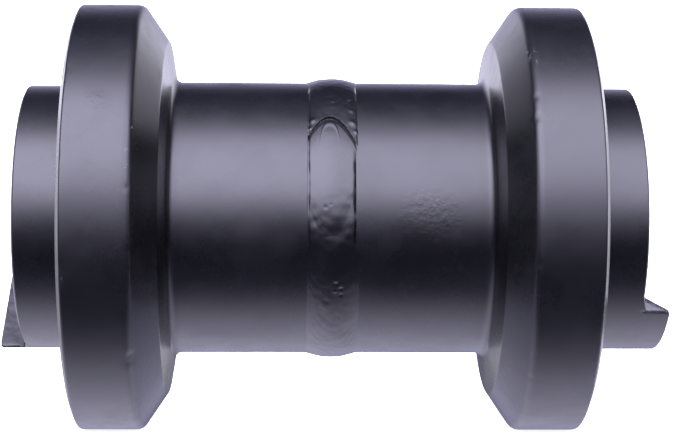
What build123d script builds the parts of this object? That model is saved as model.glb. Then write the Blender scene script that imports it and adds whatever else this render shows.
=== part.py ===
from build123d import *
import math
import os

# Outer-flanged track roller of a small excavator.
# It turns about the X axis, with its middle at the origin and Z up. All sizes are in mm.
# Outlines are lists of (distance from the middle, radius) for the right-hand side.

LEFT, RIGHT = -1, 1
SIDES = {"left": LEFT, "right": RIGHT}

# Driving sizes
OVERALL_LENGTH = 200
COLLAR_FACE_SPACING = 184
SHELL_WIDTH = 153
FLANGE_RADIUS = 65
TREAD_RADIUS = 41.5
COLLAR_RADIUS = 40.25
JOURNAL_RADIUS = 19
SHAFT_END_RADIUS = 16
PLAY = 0.05

SHELL_FACE = SHELL_WIDTH / 2
COLLAR_FACE = COLLAR_FACE_SPACING / 2
LUG_TIP = OVERALL_LENGTH / 2

# Shell halves
RIM_INNER_EDGE = 56.5
CONE_FOOT = (49, 54)
FLANGE_WALL_FOOT = 46.9
TREAD_FILLET = 2.5
RIM_BEVEL_WIDTH = 1.4
RIM_BEVEL_DEPTH = 3.6
RIM_OUTER_ROUND = 0.9
RIM_INNER_ROUND = 3.0
CONE_FOOT_ROUND = 1.6
OIL_CAVITY = (12, 27)
BUSH_SEAT_RADIUS = 23
LABYRINTH_RADIUS = COLLAR_RADIUS + 0.6
LABYRINTH_BEVEL = 0.5

# Ring weld between the halves
WELD_HALF_WIDTH = 7.75
WELD_SHIFT = 0.5
WELD_HEIGHT = 1.5
WELD_GROOVE_HALF_WIDTH = 7
WELD_ROOT_HALF_WIDTH = 1.5
WELD_ROOT_RADIUS = 34

# Flanged bushes
BUSH_INNER_END = 24
BUSH_FLANGE_INNER = 59
BUSH_FLANGE_OUTER = 62
BUSH_FLANGE_RADIUS = 28
BUSH_OIL_GROOVES = 3
BUSH_OIL_GROOVE_RADIUS = 1.2

# Shaft
SHAFT_END = COLLAR_FACE - 0.5
SHOULDER = 62.3
SHAFT_BEVEL = 0.8
TAP_RADIUS = 7
TAP_MOUTH_BEVEL = 1
TAP_DEPTH_TO = 67
DRILL_TIP_AT = 63
PLUG_SEAT = 63
PLUG_SEAT_RADIUS = 6.5
PLUG_BORE_RADIUS = 5
PLUG_BORE_END = 53
GALLERY_RADIUS = 3
CROSS_HOLE_RADIUS = 2.5

# Floating seals
SEAL_FACE = 73
SEAL_MOUTH_RADIUS = 34.8
SEAL_FLOOR_RADIUS = 33.1
SHELL_SEAL_FLOOR = 63
COLLAR_NOSE = SEAL_FACE + 0.3
COLLAR_SEAL_FLOOR = 82
SEAL_RING_OUTLINE = [
    (0, 27.6),
    (0, 32.6),
    (2.0, 32.6),
    (2.3, 29.7),
    (5.6, 28.9),
    (5.6, 27.0),
    (0.6, 27.0),
]
TORIC_AT = (4.9, 31.45)
TORIC_HALF_SIZE = (2.5, 2.25)

# End collars
COLLAR_BOSS_RADIUS = 25
COLLAR_BORE_RADIUS = SHAFT_END_RADIUS + 0.03
COUNTERBORE_RADIUS = 23
COUNTERBORE_FLOOR = 86.5
O_RING_GROOVE = (79.8, 83)
O_RING_GROOVE_RADIUS = 18.35
O_RING_CENTRE_RADIUS = 17.18
O_RING_SECTION_RADIUS = 1.13
COLLAR_EDGE_BEVEL = 0.6
COLLAR_RIM_BEVEL = 0.8
LUG_FLAT_DISTANCE = 25
LUG_TILT = {"left": 42.6, "right": 3.6}
LUG_CORNER_ROUND = 1.0
LUG_ROOT_ROUND = 1.0
LUG_TIP_BEVEL = 0.5

# Snap rings
SNAP_GROOVE = (86.55, 88.2)
SNAP_GROOVE_RADIUS = 15.15
SNAP_THICKNESS = 1.5
SNAP_INNER_RADIUS = 15.2
SNAP_OUTER_RADIUS = 18.4
SNAP_DROP = 0.6
SNAP_EYE_RADIUS = 2.5
SNAP_EYE_HOLE_RADIUS = 1.25
SNAP_EYE_AT_RADIUS = 18.2
SNAP_EYE_ANGLE = 11
SNAP_GAP = 3

# Oil plug and its sealing washer
WASHER_THICKNESS = 1
WASHER_RADII = (5.1, 6.4)
PLUG_HEAD_RADIUS = 6.3
PLUG_HEAD_HEIGHT = 3
PLUG_SHANK_RADIUS = 4.95
PLUG_SHANK_LENGTH = 9
PLUG_HEX_ACROSS_FLATS = 5
PLUG_HEX_DEPTH = 3.5


def turned(outline, side=RIGHT, rounds=(), bevels=()):
    """A ring or shaft turned about X. Rounds and bevels are (corner, size) pairs."""
    with BuildPart() as piece:
        with BuildSketch() as section:
            with BuildLine():
                Polyline(*[(side * x, radius) for x, radius in outline], close=True)
            make_face()
            for (x, radius), size in rounds:
                fillet(section.vertices().sort_by_distance((side * x, radius))[0], size)
            for (x, radius), size in bevels:
                chamfer(section.vertices().sort_by_distance((side * x, radius))[0], size)
        revolve(axis=Axis.X)
    return piece


def make_shell_half(side):
    """One half of the shell: flange, half of the tread, bush seat and seal housing."""
    rim_outer_edge = (SHELL_FACE - RIM_BEVEL_WIDTH, FLANGE_RADIUS)
    cavity_end, cavity_radius = OIL_CAVITY
    outline = [
        (0, cavity_radius),
        (cavity_end, cavity_radius),
        (cavity_end, BUSH_SEAT_RADIUS),
        (BUSH_FLANGE_INNER, BUSH_SEAT_RADIUS),
        (BUSH_FLANGE_INNER, BUSH_FLANGE_RADIUS + PLAY),
        (SHELL_SEAL_FLOOR, BUSH_FLANGE_RADIUS + PLAY),
        (SHELL_SEAL_FLOOR, SEAL_FLOOR_RADIUS),
        (SEAL_FACE, SEAL_MOUTH_RADIUS),
        (SEAL_FACE, LABYRINTH_RADIUS),
        (SHELL_FACE, LABYRINTH_RADIUS),
        (SHELL_FACE, FLANGE_RADIUS - RIM_BEVEL_DEPTH),
        rim_outer_edge,
        (RIM_INNER_EDGE, FLANGE_RADIUS),
        CONE_FOOT,
        (FLANGE_WALL_FOOT, TREAD_RADIUS),
        (WELD_GROOVE_HALF_WIDTH, TREAD_RADIUS),
        (WELD_ROOT_HALF_WIDTH, WELD_ROOT_RADIUS),
        (0, WELD_ROOT_RADIUS),
    ]
    rounds = [
        (rim_outer_edge, RIM_OUTER_ROUND),
        ((RIM_INNER_EDGE, FLANGE_RADIUS), RIM_INNER_ROUND),
        (CONE_FOOT, CONE_FOOT_ROUND),
        ((FLANGE_WALL_FOOT, TREAD_RADIUS), TREAD_FILLET),
    ]
    bevels = [((SHELL_FACE, LABYRINTH_RADIUS), LABYRINTH_BEVEL)]
    return turned(outline, side, rounds, bevels)


def make_shell_weld():
    """The crowned bead in its V groove, a little wider than the groove."""
    left_toe = WELD_SHIFT - WELD_HALF_WIDTH
    right_toe = WELD_SHIFT + WELD_HALF_WIDTH
    groove = [
        (right_toe, TREAD_RADIUS),
        (WELD_GROOVE_HALF_WIDTH, TREAD_RADIUS),
        (WELD_ROOT_HALF_WIDTH, WELD_ROOT_RADIUS),
        (-WELD_ROOT_HALF_WIDTH, WELD_ROOT_RADIUS),
        (-WELD_GROOVE_HALF_WIDTH, TREAD_RADIUS),
        (left_toe, TREAD_RADIUS),
    ]
    with BuildPart() as weld:
        with BuildSketch():
            with BuildLine():
                crown = (WELD_SHIFT, TREAD_RADIUS + WELD_HEIGHT)
                ThreePointArc(groove[-1], crown, groove[0])
                Polyline(*groove)
            make_face()
        revolve(axis=Axis.X)
    return weld


def make_bush(side):
    """A flanged bush with straight oil grooves along its bore."""
    bore = JOURNAL_RADIUS + PLAY
    outline = [
        (BUSH_INNER_END, bore),
        (BUSH_INNER_END, BUSH_SEAT_RADIUS),
        (BUSH_FLANGE_INNER, BUSH_SEAT_RADIUS),
        (BUSH_FLANGE_INNER, BUSH_FLANGE_RADIUS),
        (BUSH_FLANGE_OUTER, BUSH_FLANGE_RADIUS),
        (BUSH_FLANGE_OUTER, bore),
    ]
    with BuildPart() as bush:
        add(turned(outline, side).part)
        with BuildSketch(Plane.YZ.offset(side * BUSH_INNER_END)):
            with PolarLocations(bore, BUSH_OIL_GROOVES):
                Circle(BUSH_OIL_GROOVE_RADIUS)
        groove_length = BUSH_FLANGE_INNER - BUSH_INNER_END
        extrude(amount=side * groove_length, mode=Mode.SUBTRACT)
    return bush


def make_shaft():
    """The stepped shaft: journal, collar seats, snap ring grooves and threaded ends."""
    groove_inner, groove_outer = SNAP_GROOVE
    right_half = [
        (SHOULDER, JOURNAL_RADIUS),
        (SHOULDER, SHAFT_END_RADIUS),
        (groove_inner, SHAFT_END_RADIUS),
        (groove_inner, SNAP_GROOVE_RADIUS),
        (groove_outer, SNAP_GROOVE_RADIUS),
        (groove_outer, SHAFT_END_RADIUS),
        (SHAFT_END, SHAFT_END_RADIUS),
        (SHAFT_END, 0),
    ]
    left_half = [(-x, radius) for x, radius in reversed(right_half)]
    bevelled_corners = [(SHOULDER, JOURNAL_RADIUS), (SHAFT_END, SHAFT_END_RADIUS)]
    bevels = [
        ((side * x, radius), SHAFT_BEVEL)
        for side in SIDES.values()
        for x, radius in bevelled_corners
    ]
    mouth = [
        (SHAFT_END, 0),
        (SHAFT_END, TAP_RADIUS + TAP_MOUTH_BEVEL),
        (SHAFT_END - TAP_MOUTH_BEVEL, TAP_RADIUS),
        (TAP_DEPTH_TO, TAP_RADIUS),
    ]
    blind_end = [(DRILL_TIP_AT, 0)]
    plug_end = [
        (TAP_DEPTH_TO, PLUG_SEAT_RADIUS),
        (PLUG_SEAT, PLUG_SEAT_RADIUS),
        (PLUG_SEAT, PLUG_BORE_RADIUS),
        (PLUG_BORE_END, PLUG_BORE_RADIUS),
        (PLUG_BORE_END, GALLERY_RADIUS),
        (-GALLERY_RADIUS, GALLERY_RADIUS),
        (-GALLERY_RADIUS, 0),
    ]
    with BuildPart() as part:
        add(turned(left_half + right_half, bevels=bevels).part)
        add(turned(mouth + blind_end, LEFT).part, mode=Mode.SUBTRACT)
        add(turned(mouth + plug_end, RIGHT).part, mode=Mode.SUBTRACT)
        Cylinder(CROSS_HOLE_RADIUS, 2 * JOURNAL_RADIUS + 1, mode=Mode.SUBTRACT)
    return part


def make_seal_ring(side, way):
    """A lapped metal ring. It points in towards the middle or out, as way says."""
    face = SEAL_FACE if way < 0 else SEAL_FACE + PLAY
    return turned([(face + way * depth, radius) for depth, radius in SEAL_RING_OUTLINE], side)


def make_toric(side, way):
    """The rubber ring round a metal ring, squeezed oval by its housing."""
    depth, radius = TORIC_AT
    face = SEAL_FACE if way < 0 else SEAL_FACE + PLAY
    with BuildPart() as toric:
        with BuildSketch():
            with Locations((side * (face + way * depth), radius)):
                Ellipse(*TORIC_HALF_SIZE)
        revolve(axis=Axis.X)
    return toric


def make_o_ring(side):
    """The O-ring that seals a collar on the shaft."""
    groove_middle = sum(O_RING_GROOVE) / 2
    with BuildPart() as o_ring:
        with BuildSketch():
            with Locations((side * groove_middle, O_RING_CENTRE_RADIUS)):
                Circle(O_RING_SECTION_RADIUS)
        revolve(axis=Axis.X)
    return o_ring


def turned_collar(side):
    """A collar blank: boss, seal housing, O-ring groove and counterbore."""
    groove_inner, groove_outer = O_RING_GROOVE
    outline = [
        (SHOULDER + PLAY, COLLAR_BORE_RADIUS),
        (SHOULDER + PLAY, COLLAR_BOSS_RADIUS),
        (COLLAR_SEAL_FLOOR, COLLAR_BOSS_RADIUS),
        (COLLAR_SEAL_FLOOR, SEAL_FLOOR_RADIUS),
        (COLLAR_NOSE, SEAL_MOUTH_RADIUS),
        (COLLAR_NOSE, COLLAR_RADIUS),
        (LUG_TIP, COLLAR_RADIUS),
        (LUG_TIP, COUNTERBORE_RADIUS),
        (COUNTERBORE_FLOOR, COUNTERBORE_RADIUS),
        (COUNTERBORE_FLOOR, COLLAR_BORE_RADIUS),
        (groove_outer, COLLAR_BORE_RADIUS),
        (groove_outer, O_RING_GROOVE_RADIUS),
        (groove_inner, O_RING_GROOVE_RADIUS),
        (groove_inner, COLLAR_BORE_RADIUS),
    ]
    return turned(outline, side, bevels=[((COLLAR_NOSE, COLLAR_RADIUS), COLLAR_EDGE_BEVEL)])


def rim_cutter(side, section_plane):
    """What bevels the collar's outer rim, everywhere above the lug's root."""
    clear = COLLAR_RIM_BEVEL
    outline = [
        (COLLAR_FACE - COLLAR_RIM_BEVEL - clear, COLLAR_RADIUS + clear),
        (COLLAR_FACE + clear, COLLAR_RADIUS - COLLAR_RIM_BEVEL - clear),
        (COLLAR_FACE + clear, COLLAR_RADIUS + clear),
    ]
    with BuildPart() as cutter:
        add(turned(outline, side).part)
        with BuildSketch(section_plane):
            with Locations((0, LUG_ROOT_ROUND - LUG_FLAT_DISTANCE)):
                Rectangle(2 * LUG_TIP, 2 * COLLAR_RADIUS, align=(Align.MIN, Align.MAX))
        extrude(amount=2 * COLLAR_RADIUS, both=True, mode=Mode.SUBTRACT)
    return cutter


def make_collar(side, tilt):
    """A round collar, milled away above its flat so that a half-moon lug is left."""
    lean = math.radians(tilt)
    outward = Vector(side, 0, 0)
    flat_normal = Vector(0, -math.sin(lean), math.cos(lean))
    section_plane = Plane((0, 0, 0), x_dir=outward, z_dir=outward.cross(flat_normal))
    flat_root = (COLLAR_FACE, -LUG_FLAT_DISTANCE)
    with BuildPart() as collar:
        add(turned_collar(side).part)
        with BuildSketch(section_plane) as cut:
            with Locations(flat_root):
                Rectangle(COLLAR_RADIUS, 2 * COLLAR_RADIUS, align=(Align.MIN, Align.MIN))
            fillet(cut.vertices().sort_by_distance(flat_root)[0], LUG_ROOT_ROUND)
        extrude(amount=COLLAR_RADIUS, both=True, mode=Mode.SUBTRACT)

        flat = collar.faces().filter_by(Axis((0, 0, 0), flat_normal))[0]
        fillet(flat.edges().filter_by(Axis.X), LUG_CORNER_ROUND)
        tip = collar.faces().sort_by(Axis.X, reverse=side == LEFT)[-1]
        chamfer(tip.edges(), LUG_TIP_BEVEL)
        add(rim_cutter(side, section_plane).part, mode=Mode.SUBTRACT)
    return collar


def make_snap_ring(side):
    """An external circlip, deeper at the bottom, with two pierced eyes at its gap."""
    eye_angles = (90 - SNAP_EYE_ANGLE, 90 + SNAP_EYE_ANGLE)
    inner_face = SNAP_GROOVE[0] + PLAY
    with BuildPart() as snap_ring:
        with BuildSketch(Plane.YZ.offset(side * inner_face)):
            with Locations((0, -SNAP_DROP)):
                Circle(SNAP_OUTER_RADIUS)
            for angle in eye_angles:
                with PolarLocations(SNAP_EYE_AT_RADIUS, 1, start_angle=angle):
                    Circle(SNAP_EYE_RADIUS)
            Circle(SNAP_INNER_RADIUS, mode=Mode.SUBTRACT)
            with Locations((0, SNAP_EYE_AT_RADIUS)):
                Rectangle(SNAP_GAP, 2 * SNAP_EYE_AT_RADIUS - 2, mode=Mode.SUBTRACT)
            for angle in eye_angles:
                with PolarLocations(SNAP_EYE_AT_RADIUS, 1, start_angle=angle):
                    Circle(SNAP_EYE_HOLE_RADIUS, mode=Mode.SUBTRACT)
        extrude(amount=side * SNAP_THICKNESS)
    return snap_ring


def make_oil_plug():
    """A screw plug with a hexagon socket."""
    under_head = Plane.YZ.offset(PLUG_SEAT + WASHER_THICKNESS)
    with BuildPart() as plug:
        with BuildSketch(under_head):
            Circle(PLUG_HEAD_RADIUS)
        extrude(amount=PLUG_HEAD_HEIGHT)
        with BuildSketch(under_head):
            Circle(PLUG_SHANK_RADIUS)
        extrude(amount=-PLUG_SHANK_LENGTH)
        with BuildSketch(under_head.offset(PLUG_HEAD_HEIGHT)):
            RegularPolygon(PLUG_HEX_ACROSS_FLATS / 2, 6, major_radius=False)
        extrude(amount=-PLUG_HEX_DEPTH, mode=Mode.SUBTRACT)
    return plug


def make_plug_seal():
    """The washer under the plug's head."""
    inner, outer = WASHER_RADII
    with BuildPart() as washer:
        with BuildSketch(Plane.YZ.offset(PLUG_SEAT)):
            Circle(outer)
            Circle(inner, mode=Mode.SUBTRACT)
        extrude(amount=WASHER_THICKNESS)
    return washer


pieces = {
    "shell_weld": make_shell_weld(),
    "shaft": make_shaft(),
    "oil_plug": make_oil_plug(),
    "plug_seal": make_plug_seal(),
}
for name, side in SIDES.items():
    pieces[f"{name}_shell"] = make_shell_half(side)
    pieces[f"{name}_bush"] = make_bush(side)
    pieces[f"{name}_collar"] = make_collar(side, LUG_TILT[name])
    pieces[f"{name}_roller_seal_ring"] = make_seal_ring(side, -1)
    pieces[f"{name}_collar_seal_ring"] = make_seal_ring(side, 1)
    pieces[f"{name}_roller_toric"] = make_toric(side, -1)
    pieces[f"{name}_collar_toric"] = make_toric(side, 1)
    pieces[f"{name}_o_ring"] = make_o_ring(side)
    pieces[f"{name}_snap_ring"] = make_snap_ring(side)

os.makedirs("parts", exist_ok=True)
for node, piece in pieces.items():
    piece.part.label = node
    export_step(piece.part, f"parts/{node}.step")
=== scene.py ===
import math

import bmesh
import bpy
import numpy as np
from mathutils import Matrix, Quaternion, Vector, noise


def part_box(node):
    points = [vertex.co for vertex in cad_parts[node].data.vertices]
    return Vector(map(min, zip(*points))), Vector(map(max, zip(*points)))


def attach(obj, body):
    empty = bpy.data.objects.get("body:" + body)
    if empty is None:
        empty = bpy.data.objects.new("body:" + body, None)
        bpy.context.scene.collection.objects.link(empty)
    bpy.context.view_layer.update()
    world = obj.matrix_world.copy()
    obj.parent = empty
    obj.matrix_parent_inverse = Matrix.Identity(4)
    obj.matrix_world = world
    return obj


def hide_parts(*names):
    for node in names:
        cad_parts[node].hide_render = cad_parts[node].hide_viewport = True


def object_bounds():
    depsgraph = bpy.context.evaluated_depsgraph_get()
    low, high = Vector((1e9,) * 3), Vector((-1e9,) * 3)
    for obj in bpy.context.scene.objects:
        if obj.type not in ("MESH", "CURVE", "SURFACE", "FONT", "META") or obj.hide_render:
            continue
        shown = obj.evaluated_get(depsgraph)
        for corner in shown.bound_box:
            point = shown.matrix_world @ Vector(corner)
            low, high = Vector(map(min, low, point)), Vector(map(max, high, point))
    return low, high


# Track roller: the visible pieces are turned, milled and welded here as fine meshes around the
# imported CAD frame. X runs along the roller's axis, Z is up, and the camera looks along +Y.
# Sizes are in mm and are scaled by MM. An outline's corners are (distance from the middle,
# radius, corner round).

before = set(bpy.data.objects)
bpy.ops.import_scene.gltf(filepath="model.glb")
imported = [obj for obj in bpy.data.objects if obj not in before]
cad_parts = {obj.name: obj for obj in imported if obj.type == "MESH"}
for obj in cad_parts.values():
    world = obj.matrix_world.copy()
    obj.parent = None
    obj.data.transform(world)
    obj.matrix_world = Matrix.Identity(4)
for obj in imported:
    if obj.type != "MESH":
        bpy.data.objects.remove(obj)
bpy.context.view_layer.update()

MM = 0.001
SIDES = {"left": -1, "right": 1}
LOW, HIGH = 0, 1
X, Z = 0, 2


def cad_size(node, corner, axis):
    """One coordinate of a CAD node's box, in mm."""
    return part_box(node)[corner][axis] / MM


# Driving sizes, read from the frame
FLANGE_RADIUS = cad_size("right_shell", HIGH, Z)
SHELL_FACE = cad_size("right_shell", HIGH, X)
LUG_TIP = cad_size("right_collar", HIGH, X)
COLLAR_RADIUS = -cad_size("right_collar", LOW, Z)
COLLAR_INNER_END = cad_size("right_collar", LOW, X)
SHAFT_END = cad_size("shaft", HIGH, X)
JOURNAL_RADIUS = cad_size("shaft", HIGH, Z)
WELD_LEFT = cad_size("shell_weld", LOW, X)
WELD_RIGHT = cad_size("shell_weld", HIGH, X)
WELD_TOP = cad_size("shell_weld", HIGH, Z)

# Sizes that no box shows, the same as the CAD model's
TREAD_RADIUS = 41.5
TREAD_FILLET = 2.5
RIM_INNER_EDGE = 56.5
RIM_INNER_ROUND = 3.0
RIM_OUTER_ROUND = 0.9
RIM_BEVEL_WIDTH = 1.4
RIM_BEVEL_DEPTH = 3.6
CONE_FOOT = (49, 54)
CONE_FOOT_ROUND = 1.6
FLANGE_WALL_FOOT = 46.9
OIL_CAVITY = (12, 27)
BUSH_SEAT_RADIUS = 23
BUSH_FLANGE_INNER = 59
BUSH_FLANGE_RADIUS = 28
LABYRINTH_RADIUS = 40.85
LABYRINTH_BEVEL = 0.5
SEAL_FACE = 73
SEAL_MOUTH_RADIUS = 34.8
SEAL_FLOOR_RADIUS = 33.1
SHELL_SEAL_FLOOR = 63
WELD_GROOVE_HALF_WIDTH = 7
WELD_ROOT_HALF_WIDTH = 1.5
WELD_ROOT_RADIUS = 34
COLLAR_NOSE = 73.3
COLLAR_FACE = 92
COLLAR_SEAL_FLOOR = 82
COLLAR_BOSS_RADIUS = 25
COLLAR_BORE_RADIUS = 16.03
COLLAR_EDGE_BEVEL = 0.6
COUNTERBORE_RADIUS = 23
COUNTERBORE_FLOOR = 86.5
O_RING_GROOVE = (79.8, 83)
O_RING_GROOVE_RADIUS = 18.35
LUG_FLAT_DISTANCE = 25
LUG_TILT = {"left": 42.6, "right": 3.6}
SHAFT_END_RADIUS = 16
SHAFT_BEVEL = 0.8
SHOULDER = 62.3
SNAP_GROOVE = (86.55, 88.2)
SNAP_GROOVE_RADIUS = 15.15
TAP_DEPTH_TO = 67
PLUG_SEAT = 63
PLUG_SEAT_RADIUS = 6.5

SHARP_ANGLE = math.radians(32)
MERGE_DISTANCE = 1e-7


# ---------------------------------------------------------------- mesh tools

def new_object(name, vertices, faces, attributes=None):
    """A smooth-shaded mesh object, with edges sharper than SHARP_ANGLE kept crisp."""
    mesh = bpy.data.meshes.new(name)
    mesh.from_pydata([tuple(v) for v in vertices], [], faces)
    mesh.update()
    for label, values in (attributes or {}).items():
        layer = mesh.attributes.new(label, "FLOAT", "POINT")
        layer.data.foreach_set("value", np.asarray(values, dtype=np.float32))
    return finish_object(name, mesh)


def finish_object(name, mesh):
    """Links a mesh as an object, with its normals outward and its edges sorted."""
    work = bmesh.new()
    work.from_mesh(mesh)
    bmesh.ops.remove_doubles(work, verts=work.verts, dist=MERGE_DISTANCE)
    bmesh.ops.recalc_face_normals(work, faces=work.faces)
    work.to_mesh(mesh)
    work.free()
    mesh.shade_smooth()
    mesh.set_sharp_from_angle(angle=SHARP_ANGLE)
    piece = bpy.data.objects.new(name, mesh)
    bpy.context.scene.collection.objects.link(piece)
    return piece


def rounded(corners, steps=6):
    """A closed outline through (x, radius, round) corners, with each round as an arc.

    Returns (points, wear), where wear is 1 on the arcs and 0 elsewhere."""
    points, wear = [], []
    count = len(corners)
    for i, (x, radius, size) in enumerate(corners):
        here = Vector((x, radius))
        if not size:
            points.append(here)
            wear.append(0.0)
            continue
        before = Vector(corners[i - 1][:2]) - here
        after = Vector(corners[(i + 1) % count][:2]) - here
        half_angle = before.angle(after) / 2
        tangent = size / math.tan(half_angle)
        centre = here + (before.normalized() + after.normalized()).normalized() * (
            size / math.sin(half_angle)
        )
        start = here + before.normalized() * tangent - centre
        end = here + after.normalized() * tangent - centre
        for step in range(steps + 1):
            mix = step / steps
            spoke = start.lerp(end, mix).normalized() * size
            points.append(centre + spoke)
            wear.append(1.0)
    return points, wear


def divided(points, wear, longest, wanted):
    """The outline with its wanted long runs cut into pieces no longer than longest."""
    out_points, out_wear = [], []
    for i, here in enumerate(points):
        following = points[(i + 1) % len(points)]
        out_points.append(here)
        out_wear.append(wear[i])
        length = (following - here).length
        cuts = math.ceil(length / longest) if wanted(here, following) else 1
        for cut in range(1, cuts):
            out_points.append(here.lerp(following, cut / cuts))
            out_wear.append(0.0)
    return out_points, out_wear


def about_axis(x, radius, angle):
    """Vertices at places along X, radii in mm, and angles up from the side facing the camera."""
    y, z = -radius * np.cos(angle), radius * np.sin(angle)
    return np.stack((x * MM, y * MM, z * MM), axis=-1).reshape(-1, 3)


def net_faces(rings, per_ring, closed=True):
    """Quads between neighbouring rings of vertices, and from the last ring to the first."""
    faces = []
    for ring in range(rings if closed else rings - 1):
        here = ring * per_ring
        there = (ring + 1) % rings * per_ring
        for k in range(per_ring):
            after = (k + 1) % per_ring
            faces.append((here + k, here + after, there + after, there + k))
    return faces


def turned(name, points, wear, segments, side=1, push=None):
    """A closed outline turned about X. push(x, radius, angle) moves the skin in mm."""
    xs = np.array([p.x for p in points])
    radii = np.array([p.y for p in points])
    angles = np.arange(segments) * (2 * math.pi / segments)
    grid_x, grid_a = np.meshgrid(xs, angles, indexing="ij")
    grid_r = np.repeat(radii[:, None], segments, axis=1)
    if push:
        grid_r = grid_r + push(grid_x, grid_r, grid_a)
    vertices = about_axis(side * grid_x, grid_r, grid_a)
    faces = net_faces(len(points), segments)
    return new_object(name, vertices, faces, {"wear": np.repeat(wear, segments)})


def smooth_noise(x, y, z, size, seed):
    """Smooth noise between -1 and 1 at points in mm, with lumps about size mm across."""
    shift = Vector((seed * 17.3, seed * 5.1, seed * 9.7))
    spots = zip(np.ravel(x) / size, np.ravel(y) / size, np.ravel(z) / size)
    values = [noise.noise(Vector(spot) + shift) for spot in spots]
    return np.array(values).reshape(np.shape(x))


def fade(value, start, end):
    """0 up to the start, 1 from the end on, and straight between. The end may be the lower."""
    return np.clip((value - start) / (end - start), 0, 1)


def between(value, first, last):
    """1 within two limits and 0 beyond them. Each limit is the (start, end) of a fade."""
    return fade(value, *first) * fade(value, *last)


def bell(value, middle, spread):
    """1 at the middle, falling smoothly on both sides."""
    return np.exp(-(((value - middle) / spread) ** 2))


def stands_for(piece, node, body):
    """Rides the piece on its body in place of one CAD node."""
    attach(piece, body)
    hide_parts(node)


# ---------------------------------------------------------------- materials

class Nodes:
    """A short way to write the shader nodes of a material or a world."""

    def __init__(self, owner):
        owner.use_nodes = True
        self.tree = owner.node_tree
        self.coordinates = self.new("TexCoord").outputs

    def new(self, kind):
        return self.tree.nodes.new(f"ShaderNode{kind}")

    def link(self, source, target):
        self.tree.links.new(source, target)

    def math(self, operation, a, b=None):
        """One operation on numbers or sockets."""
        node = self.new("Math")
        node.operation = operation
        for value, socket in ((a, node.inputs[0]), (b, node.inputs[1])):
            if value is None:
                continue
            if isinstance(value, (int, float)):
                socket.default_value = value
            else:
                self.link(value, socket)
        return node.outputs[0]

    def mix_colour(self, amount, below, above):
        """A blend of two colours, each a tuple or a socket."""
        node = self.new("Mix")
        node.data_type = "RGBA"
        self.link(amount, node.inputs["Factor"])
        for colour, socket in ((below, node.inputs["A"]), (above, node.inputs["B"])):
            if isinstance(colour, tuple):
                socket.default_value = (*colour, 1.0)
            else:
                self.link(colour, socket)
        return node.outputs["Result"]

    def levels(self, where, stops):
        """Grey levels through (place, level) stops, with places from 0 to 1."""
        node = self.new("ValToRGB")
        elements = node.color_ramp.elements
        while len(elements) < len(stops):
            elements.new(0.5)
        for element, (place, level) in zip(elements, stops):
            element.position = place
            element.color = (level, level, level, 1)
        self.link(where, node.inputs[0])
        return node.outputs[0]


class MaterialNodes(Nodes):
    """A new material's nodes, with its textures in object coordinates."""

    def __init__(self, name):
        self.material = bpy.data.materials.new(name)
        super().__init__(self.material)
        self.shader = self.tree.nodes["Principled BSDF"]
        self.place = self.coordinates["Object"]

    def set(self, **values):
        """Uniform values, on the shader's own sockets."""
        for label, value in values.items():
            self.shader.inputs[label.replace("_", " ")].default_value = value

    def stretched(self, scale):
        """Object coordinates, scaled by three factors."""
        mapping = self.new("Mapping")
        mapping.inputs["Scale"].default_value = scale
        self.link(self.place, mapping.inputs["Vector"])
        return mapping.outputs["Vector"]

    def noise(self, size_mm, detail=3.0, roughness=0.55, scale=(1, 1, 1)):
        """Noise with features about size_mm across."""
        texture = self.new("TexNoise")
        texture.inputs["Scale"].default_value = 1 / (size_mm * MM)
        texture.inputs["Detail"].default_value = detail
        texture.inputs["Roughness"].default_value = roughness
        self.link(self.stretched(scale), texture.inputs["Vector"])
        return texture.outputs["Fac"]

    def cells(self, size_mm):
        """Distance to the nearest of a scatter of points, in cells of size_mm."""
        texture = self.new("TexVoronoi")
        texture.inputs["Scale"].default_value = 1 / (size_mm * MM)
        self.link(self.place, texture.inputs["Vector"])
        return texture.outputs["Distance"]

    def near(self, place, radius):
        """1 around a place in mm, fading to 0 at the radius."""
        measure = self.new("VectorMath")
        measure.operation = "DISTANCE"
        measure.inputs[1].default_value = [value * MM for value in place]
        self.link(self.place, measure.inputs[0])
        fade_from = 0.3 * radius
        return self.ramp(measure.outputs["Value"], fade_from * MM, radius * MM, 1.0, 0.0)

    def attribute(self, label):
        node = self.new("Attribute")
        node.attribute_name = label
        return node.outputs["Fac"]

    def ramp(self, value, low, high, out_low=0.0, out_high=1.0):
        """value taken from low..high to out_low..out_high, and held there."""
        node = self.new("MapRange")
        node.interpolation_type = "SMOOTHSTEP"
        for label, number in (
            ("From Min", low),
            ("From Max", high),
            ("To Min", out_low),
            ("To Max", out_high),
        ):
            node.inputs[label].default_value = number
        self.link(value, node.inputs["Value"])
        return node.outputs["Result"]

    def bump(self, height, distance_mm, under=None):
        """A normal that stands up distance_mm where the height is 1, on top of another."""
        node = self.new("Bump")
        node.inputs["Strength"].default_value = 1.0
        node.inputs["Distance"].default_value = distance_mm * MM
        self.link(height, node.inputs["Height"])
        if under is not None:
            self.link(under, node.inputs["Normal"])
        return node.outputs["Normal"]

    def finish(self, colour, roughness, normal):
        self.link(colour, self.shader.inputs["Base Color"])
        self.link(roughness, self.shader.inputs["Roughness"])
        self.link(normal, self.shader.inputs["Normal"])
        return self.material


ENAMEL = (0.0006, 0.0006, 0.0008)
ENAMEL_THIN = (0.0014, 0.0014, 0.0018)
# The lug flats' enamel is painted much lighter than the rest: painted sheen, standing in for the
# light that the flats catch
FLAT_SHEEN_ENAMEL = (0.027, 0.027, 0.029)
FLAT_SHEEN_ENAMEL_THIN = (0.048, 0.048, 0.052)
ENAMEL_IOR = 1.5
DUST = (0.28, 0.27, 0.3)
BARE_STEEL = (0.14, 0.14, 0.15)
SPECK_STRENGTH = 0.2

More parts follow.
